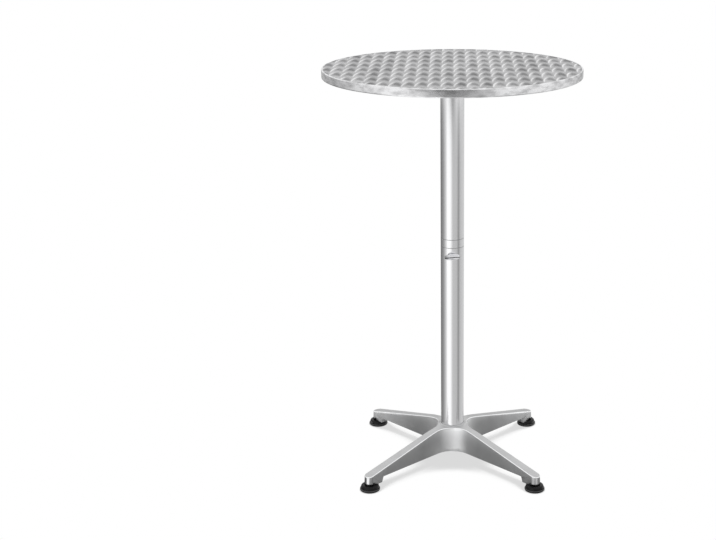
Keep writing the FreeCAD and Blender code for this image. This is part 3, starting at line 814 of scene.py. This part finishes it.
# %% [markdown]
# ## A recipe for Geometry Nodes
#
# A Geometry Nodes tree is a recipe with named inputs. Each one here takes a mesh of points or
# edges, some sizes and a finish, and ends in Realize Instances and Set Material, so that what
# comes out is plain mesh with its finish on it. A modifier's inputs are set by identifier.


# %% Geometry recipe
class Recipe(Tree):
    """A Geometry Nodes tree with named inputs, closed with Realize Instances and Set Material."""

    def __init__(self, name, **inputs):
        super().__init__(bpy.data.node_groups.new(name, "GeometryNodeTree"))
        self.name = name
        kinds = {"Geometry": "Geometry", **inputs, "finish": "Material"}
        self.nodes.interface.new_socket("Geometry", in_out="OUTPUT",
                                        socket_type="NodeSocketGeometry")
        for label, kind in kinds.items():
            self.nodes.interface.new_socket(label, in_out="INPUT",
                                            socket_type="NodeSocket" + kind)

    def given(self, label):
        """One of the named inputs."""
        return self.node("NodeGroupInput", {}, {}, label)

    def close(self, shape):
        """End the tree with a shape."""
        real = self.node("GeometryNodeRealizeInstances", {}, {0: shape})
        done = self.node("GeometryNodeSetMaterial", {},
                         {"Geometry": real, "Material": self.given("finish")})
        self.node("NodeGroupOutput", {}, {0: done}, None)

    def make(self, name, mesh, **values):
        """A plain mesh from a mesh and the values of the named inputs."""
        piece = new_piece(name, mesh)
        modifier = piece.modifiers.new(self.name, "NODES")
        modifier.node_group = self.nodes
        for socket in self.nodes.interface.items_tree:
            if socket.name in values:
                modifier[socket.identifier] = values[socket.name]
        return settle(piece)


print("recipe class ready")

# %% [markdown]
# ## Turned pieces
#
# The top's sheet and band, the tubes and the feet are all round: each is one section, turned
# about an axis. The section is drawn as a line of (radius, height) corners, each rounded by
# its own small curve, and Curve to Mesh sweeps it round a circle. The recipe's inputs are the
# circle's radius, the number of sides and the finish.

# %% Turning
CURVE_STEPS = (0, 0.2, 0.4, 0.6, 0.8, 1)
LONGEST_CUT = 0.49
SEAM_MERGE = 0.002 * MM
turning = Recipe("turned_section", ring_radius="Float", sides="Int")
circle = turning.node("GeometryNodeCurvePrimitiveCircle", {}, {
    "Radius": turning.given("ring_radius"), "Resolution": turning.given("sides")})
section = turning.node("GeometryNodeMeshToCurve", {}, {0: turning.given("Geometry")})
swept = turning.node("GeometryNodeCurveToMesh", {}, {"Curve": circle, "Profile Curve": section})
turning.close(turning.node("GeometryNodeMergeByDistance", {},
                           {"Geometry": swept, "Distance": SEAM_MERGE}))


def rounded(corners, closed):
    """Points along (radius, height, rounding) corners, with each corner made a small curve."""
    points = []
    count = len(corners)
    for place, (radius, height, rounding) in enumerate(corners):
        here = Vector((radius, height))
        if not rounding or (not closed and place in (0, count - 1)):
            points.append(here)
            continue
        before = Vector(corners[place - 1][:2]) - here
        after = Vector(corners[(place + 1) % count][:2]) - here
        start = here + before.normalized() * min(rounding, before.length * LONGEST_CUT)
        end = here + after.normalized() * min(rounding, after.length * LONGEST_CUT)
        points += [start * (1 - step) ** 2 + here * (2 * step * (1 - step)) + end * step ** 2
                   for step in CURVE_STEPS]
    return points


def turned(name, node, corners, sides, closed=True, axis=(0, 0)):
    """A piece turned about a vertical axis, from corners in millimetres, in a node's finish."""
    points = rounded(corners, closed)
    widest = max(point.x for point in points)
    last = len(points) - 1
    edges = [(k, k + 1) for k in range(last)] + ([(last, 0)] if closed else [])
    mesh = bpy.data.meshes.new(name)
    line = [((point.x - widest) * MM, -point.y * MM, 0) for point in points]
    mesh.from_pydata(line, edges, [])
    piece = turning.make(name, mesh, ring_radius=widest * MM, sides=sides,
                         finish=finish_of(node))
    build = bmesh.new()
    build.from_mesh(piece.data)
    bmesh.ops.translate(build, verts=build.verts, vec=(axis[0] * MM, axis[1] * MM, 0))
    bmesh.ops.recalc_face_normals(build, faces=build.faces)
    build.to_mesh(piece.data)
    build.free()
    return piece


print("turning recipe ready")

# %% [markdown]
# ## The top
#
# A chip board carries the swirled sheet above and a white laminate below. A rolled steel band
# closes the edge: a C section with rounded corners whose upper lip stands a little above the
# sheet. That lip catches the light as a thin bright line, so its corners are turned with
# several steps. The board stays as the CAD solid, since the sheets and the band hide it.

# %% Top
LIP, LOWER_LIP, LIP_EDGE = 4.0, 9.0, 0.4
BAND_WALL, BAND_CORNER = 1.0, 2.5
EDGE_PRESS, SHEET_PLAY = 0.2, 0.4
sheet_low, sheet_high = span("top_sheet")
band_low, band_high = span("edge_band")
back_low, back_high = span("backing_sheet")
sheet_face, pressed_face = band_high.x - LIP - SHEET_PLAY, sheet_high.z - EDGE_PRESS
sheet = turned("swirled_sheet", "top_sheet", [
    (0, sheet_high.z, 0), (sheet_face, sheet_high.z, 0.15), (sheet_face, pressed_face, 0.05),
    (sheet_high.x, pressed_face, 0.1), (sheet_high.x, sheet_low.z, 0.1), (0, sheet_low.z, 0)],
    closed=False, sides=256)
stand_in(shade(sheet), "top_sheet")

rim, inner, inner_corner = band_high.x, band_high.x - BAND_WALL, BAND_CORNER - BAND_WALL
band_floor, band_roof = band_low.z + BAND_WALL, band_high.z - BAND_WALL
band = turned("rolled_band", "edge_band", [
    (rim - LIP, band_high.z, LIP_EDGE), (rim, band_high.z, BAND_CORNER),
    (rim, band_low.z, BAND_CORNER), (rim - LOWER_LIP, band_low.z, LIP_EDGE),
    (rim - LOWER_LIP, band_floor, LIP_EDGE), (inner, band_floor, inner_corner),
    (inner, band_roof, inner_corner), (rim - LIP, band_roof, LIP_EDGE)], sides=256)
stand_in(shade(band), "edge_band")

backing = turned("laminate_backing", "backing_sheet", [
    (0, back_high.z, 0), (back_high.x, back_high.z, 0.2), (back_high.x, back_low.z, 0.2),
    (0, back_low.z, 0)], closed=False, sides=192)
stand_in(shade(backing), "backing_sheet")
print("top", round(2 * rim, 1), "mm across, sheet", round(2 * sheet_face, 1), "mm")

# %% [markdown]
# ## The column
#
# Two lengths of tube meet at a turned spigot, whose ring shows as two fine lines. A tube is
# a closed section turned about the axis, with its cut ends eased. The lower tube is drilled
# at the front for the lock, and the upper one at the back for its screws, by a Boolean. Edge
# rings above and below a hole keep the Boolean's long thin faces close to it.

# %% Column tubes
TUBE_WALL, TUBE_SIDES = 2.0, 144
LOCK_HOLE, SCREW_HOLE = 6.02, 3.02
LOCK_CLEAR, SCREW_CLEAR = 12, 10
DRILL_MIDDLE, DRILL_LENGTH, DRILL_SIDES = 31, 30, 48
BUTTON_RADIUS = 5.2
TO_FRONT, TO_BACK = -1, 1


def cut(piece, build):
    """Cut the shapes of a bmesh out of a piece."""
    cutter_mesh = bpy.data.meshes.new("cutter")
    build.to_mesh(cutter_mesh)
    build.free()
    cutter = new_piece("cutter", cutter_mesh)
    away = piece.modifiers.new("away", "BOOLEAN")
    away.object = cutter
    settle(piece)
    bpy.data.objects.remove(cutter)
    return piece


def drilled(piece, radius, heights, side):
    """Cut round holes through one wall of a tube, from the axis outwards."""
    build = bmesh.new()
    for height in heights:
        aim = Vector((0, side * DRILL_MIDDLE, height)) * MM
        placed = Matrix.Translation(aim) @ Matrix.Rotation(math.radians(90), 4, "X")
        bmesh.ops.create_cone(build, cap_ends=True, segments=DRILL_SIDES, radius1=radius * MM,
                              radius2=radius * MM, depth=DRILL_LENGTH * MM, matrix=placed)
    return cut(piece, build)


def tube_piece(name, node, rings):
    """A length of tube with eased ends, and edge rings at the heights round its holes."""
    low, high = span(node)
    inside = high.x - TUBE_WALL
    wall_rings = [(high.x, height, 0) for height in rings]
    return turned(name, node, [
        (high.x, low.z, 0.6), *wall_rings, (high.x, high.z, 0.6), (inside, high.z, 0.25),
        (inside, low.z, 0.25)], sides=TUBE_SIDES)


lock_height = sum(corner.z for corner in span("lock_bush")) / 2
lock_rings = (lock_height - LOCK_CLEAR, lock_height + LOCK_CLEAR)
lower = tube_piece("lower_tube_drawn", "lower_tube", lock_rings)
stand_in(shade(drilled(lower, LOCK_HOLE, [lock_height], TO_FRONT)), "lower_tube")

screw_low, screw_high = span("column_screws")
screw_rows = (screw_low.z + BUTTON_RADIUS, screw_high.z - BUTTON_RADIUS)
screw_rings = (screw_rows[0] + SCREW_CLEAR, screw_rows[1] - SCREW_CLEAR)
upper = tube_piece("upper_tube_drawn", "upper_tube", screw_rings)
stand_in(shade(drilled(upper, SCREW_HOLE, screw_rows, TO_BACK)), "upper_tube")
print("lock at", round(lock_height, 1), "mm, screws at", [round(row, 1) for row in screw_rows])

# %% [markdown]
# ## The spigot
#
# The spigot is turned from bar: a sliding fit below its ring, a tight fit above it, and a
# bore right through. A keyway is milled up its front for the tip of the lock. It is turned
# like the tubes, and a box and a drill cut the keyway and the screw hole.

# %% Spigot
SPIGOT_BORE, SPIGOT_LEAD, RING_BEVEL = 16, 0.8, 0.8
SLIDING_FIT, TIGHT_FIT = 0.1, 0.02
KEYWAY_WIDTH, KEYWAY_DEPTH, KEYWAY_TOOL, OVERCUT = 14, 8.4, 20, 2
spigot_low, spigot_high = span("joint_spigot")
tube_bore = tube_radius - TUBE_WALL
sliding, tight = tube_bore - SLIDING_FIT, tube_bore - TIGHT_FIT
ring_edge = tube_radius - RING_BEVEL
spigot = turned("turned_spigot", "joint_spigot", [
    (SPIGOT_BORE, spigot_low.z, 0.3), (sliding - SPIGOT_LEAD, spigot_low.z, 0),
    (sliding, spigot_low.z + SPIGOT_LEAD, 0), (sliding, ring_low, 0), (ring_edge, ring_low, 0),
    (tube_radius, ring_low + RING_BEVEL, 0.2), (tube_radius, ring_high - RING_BEVEL, 0.2),
    (ring_edge, ring_high, 0), (tight, ring_high, 0), (tight, spigot_high.z, 0.3),
    (SPIGOT_BORE, spigot_high.z, 0.3)], sides=TUBE_SIDES)
keyway_low, keyway_high = spigot_low.z - OVERCUT, lock_height + KEYWAY_WIDTH / 2
keyway_y = -(tube_radius - KEYWAY_DEPTH + KEYWAY_TOOL / 2)
keyway_place = Matrix.Translation(Vector((0, keyway_y, (keyway_low + keyway_high) / 2)) * MM)
keyway_size = Vector((KEYWAY_WIDTH, KEYWAY_TOOL, keyway_high - keyway_low)) * MM
keyway = bmesh.new()
bmesh.ops.create_cube(keyway, size=1, matrix=keyway_place @ Matrix.Diagonal(keyway_size).to_4x4())
spigot = drilled(cut(spigot, keyway), SCREW_HOLE, screw_rows[:1], TO_BACK)
stand_in(shade(spigot), "joint_spigot")
print("spigot", round(spigot_high.z - spigot_low.z, 1), "mm long")

# %% [markdown]
# ## The base
#
# The base is one casting: four legs that fall away from a hub, with hollow arches between
# them. The CAD solid already has the fillets along the creases, so a smooth copy is enough.

# %% Base
smooth_copy("base_casting", crease=50)
smooth_copy("base_bolt", bevel=0.4)
smooth_copy("base_washer", bevel=0.3)
print("base copied")

# %% [markdown]
# ## The feet
#
# Each levelling foot is a black pad: a broad flange on the floor, a groove, and a narrower
# upper part with a rounded shoulder, on a threaded stud. One section is turned four times.

# %% Feet
CORNERS = ("front_left", "front_right", "rear_left", "rear_right")
FLANGE_LOW, FLANGE_TOP, GROOVE_TOP, SHOULDER, PAD_TOP = 2.0, 6.6, 8.0, 13.6, 16.0
FLOOR_EDGE, UPPER_INSET, GROOVE, TAPER, SHOULDER_INSET = 1.6, 2.5, 1.4, 0.8, 4.0
STUD_HOLE, STUD_SEAT = 4.1, 7.0
for corner in CORNERS:
    pad_low, pad_high = span("foot_pad_" + corner)
    centre = (pad_low + pad_high) / 2
    edge = (pad_high.x - pad_low.x) / 2
    neck = edge - UPPER_INSET
    pad = turned("levelling_pad_" + corner, "foot_pad_" + corner, [
        (0, 0, 0), (edge - FLOOR_EDGE, 0, 1.0), (edge, FLANGE_LOW, 1.2), (edge, FLANGE_TOP, 1.6),
        (neck - GROOVE, FLANGE_TOP, 0.3), (neck - GROOVE, GROOVE_TOP, 0.3), (neck, GROOVE_TOP, 0.5),
        (neck - TAPER, SHOULDER, 1.6), (neck - SHOULDER_INSET, PAD_TOP, 1.6),
        (STUD_HOLE, PAD_TOP, 0.4), (STUD_HOLE, STUD_SEAT, 0), (0, STUD_SEAT, 0)],
        closed=False, sides=96, axis=(centre.x, centre.y))
    stand_in(shade(pad, crease=40), "foot_pad_" + corner)
    smooth_copy("foot_stem_" + corner)
print("feet:", len(CORNERS))

# %% [markdown]
# ## Lock, hinge and clamp
#
# The oval chrome knob locks the column's joint. Under the top, the column head carries the
# hinge pin, and a dark rod with a lobed knob clamps the top level. These are small solids
# with their own fillets, so they are smooth copies; the square ones get rounded edges. The
# board and the plug are out of sight and keep their CAD nodes.

# %% Lock, hinge and clamp
ROUNDED_EDGES = {"column_head": 0.6, "hinge_box": 0.8, "knob_nut": 0.5, "clamp_rod": 0.4}
for node in ("lock_knob", "lock_stem", "lock_bush", "hinge_pin", "pin_clip", "hinge_bushes",
             "clamp_knob", "rest_pad"):
    smooth_copy(node)
for node, bevel in ROUNDED_EDGES.items():
    smooth_copy(node, bevel=bevel)
smooth_copy("spider")
for node in ("core_board", "tube_plug"):
    frame["nodes"][node].data.materials.clear()
    frame["nodes"][node].data.materials.append(finish_of(node))
print("small pieces copied")

# %% [markdown]
# ## A recipe for screws
#
# Eight wood screws hold the spider, four countersunk bolts the hinge box, and two button
# heads the column. On the real table each set is the same screw again and again, driven to
# a different angle. A second recipe makes one screw from a cone and a shank, cuts its recess
# with a Boolean of two crossed bars, and puts an instance on each given point, turned by a
# seeded random angle.

# %% Screw recipe
SCREW_SIDES = 40
BAR_WIDTH, RECESS_DEPTH = 0.42, 0.9
screws = Recipe("screw_set", head_radius="Float", face_radius="Float", head_height="Float",
                shank_radius="Float", shank_length="Float", recess="Float", facing="Vector",
                seed="Int")


def cone(wide, narrow, tall):
    """A round bar or cone that stands on the origin."""
    sizes = {"Vertices": SCREW_SIDES, "Radius Bottom": wide, "Radius Top": narrow, "Depth": tall}
    return screws.node("GeometryNodeMeshCone", {}, sizes, "Mesh")


def moved(shape, height):
    """A shape moved along its own axis."""
    offset = screws.node("ShaderNodeCombineXYZ", {}, {2: height})
    return screws.node("GeometryNodeTransform", {}, {"Geometry": shape, "Translation": offset})


def bar(long_x, long_y, deep):
    """One bar of the crossed recess."""
    size = screws.node("ShaderNodeCombineXYZ", {}, {0: long_x, 1: long_y, 2: deep})
    return screws.node("GeometryNodeMeshCube", {}, {"Size": size}, "Mesh")


head_height, shank_length, shank_radius, recess = (
    screws.given(label) for label in ("head_height", "shank_length", "shank_radius", "recess"))
head = cone(screws.given("head_radius"), screws.given("face_radius"), head_height)
shank = moved(cone(shank_radius, shank_radius, shank_length + head_height / 2), shank_length * -1)
blank = screws.node("GeometryNodeMeshBoolean", {"operation": "UNION"}, {"Mesh 2": [head, shank]})
bar_length, bar_width, bar_depth = recess * 2, recess * BAR_WIDTH, recess * RECESS_DEPTH * 2
crossed = [bar(bar_length, bar_width, bar_depth), bar(bar_width, bar_length, bar_depth)]
recess_tool = moved(screws.node("GeometryNodeJoinGeometry", {}, {0: crossed}), head_height)
screw = screws.node("GeometryNodeMeshBoolean", {"operation": "DIFFERENCE"},
                    {"Mesh 1": blank, "Mesh 2": recess_tool})
aimed = screws.node("FunctionNodeEulerToRotation", {}, {0: screws.given("facing")})
set_down = screws.node("GeometryNodeInstanceOnPoints", {}, {
    "Points": screws.given("Geometry"), "Instance": screw, "Rotation": aimed})
driven_angle = screws.node("FunctionNodeRandomValue", {"data_type": "FLOAT"}, {
    "Min": 0.0, "Max": math.pi, "Seed": screws.given("seed")}, 1)
driven_turn = screws.node("ShaderNodeCombineXYZ", {}, {2: driven_angle})
screws.close(screws.node("GeometryNodeRotateInstances", {}, {
    "Instances": set_down, "Rotation": driven_turn, "Local Space": True}))
print("screw recipe ready")

# %% [markdown]
# ## Three sets of screws
#
# Each set gives the recipe its places, its direction and its sizes. The wood screws and the
# bolts point up into the top, with their heads below, and the column's button heads face
# backwards. A countersunk head is a cone that widens towards its face, so only its radii
# differ from a button head's.

# %% Screws
SCREW_SEED = 7
HEADS_DOWN, HEADS_BACK = (180, 0, 0), (-90, 0, 0)
ARM_DIRECTIONS, ARM_SCREWS = ((1, 0), (0, 1), (-1, 0), (0, -1)), (102, 138)
BOLT_X, BOLT_Y, BOLT_HEAD = (-14, 42), (-17, 17), 2.6


def screw_set(name, node, places, facing, **sizes):
    """Screws at places in millimetres, with their heads to one side, instead of a CAD node."""
    mesh = bpy.data.meshes.new(name)
    mesh.from_pydata([Vector(place) * MM for place in places], [], [])
    in_metres = {label: size * MM for label, size in sizes.items()}
    piece = screws.make(name, mesh, facing=[math.radians(turn) for turn in facing],
                        seed=SCREW_SEED, finish=finish_of(node), **in_metres)
    return stand_in(shade(piece, crease=35), node)


spider_foot = span("spider")[0].z
arm_places = [(radius * x, radius * y, spider_foot) for x, y in ARM_DIRECTIONS
              for radius in ARM_SCREWS]
screw_set("wood_screws", "spider_screws", arm_places, HEADS_DOWN, head_radius=4.6,
          face_radius=3.2, head_height=2.8, shank_radius=2.2, shank_length=19.8, recess=2.2)
bolt_seat = span("box_bolts")[0].z + BOLT_HEAD
bolt_places = [(x, y, bolt_seat) for x in BOLT_X for y in BOLT_Y]
screw_set("countersunk_bolts", "box_bolts", bolt_places, HEADS_DOWN, head_radius=3.0,
          face_radius=5.6, head_height=BOLT_HEAD, shank_radius=3.0, shank_length=6.4, recess=2.6)
button_places = [(0, tube_radius, row) for row in screw_rows]
screw_set("column_button_screws", "column_screws", button_places, HEADS_BACK,
          head_radius=BUTTON_RADIUS, face_radius=3.4, head_height=2.6, shank_radius=3.0,
          shank_length=11.0, recess=2.2)
print("screws:", len(arm_places) + len(bolt_places) + len(button_places))

# %% [markdown]
# ## The last update
#
# The scene is updated once more, so that every piece stands where its body puts it. The
# visual model has to stay inside the CAD model's box.

# %% Last update
bpy.context.view_layer.update()
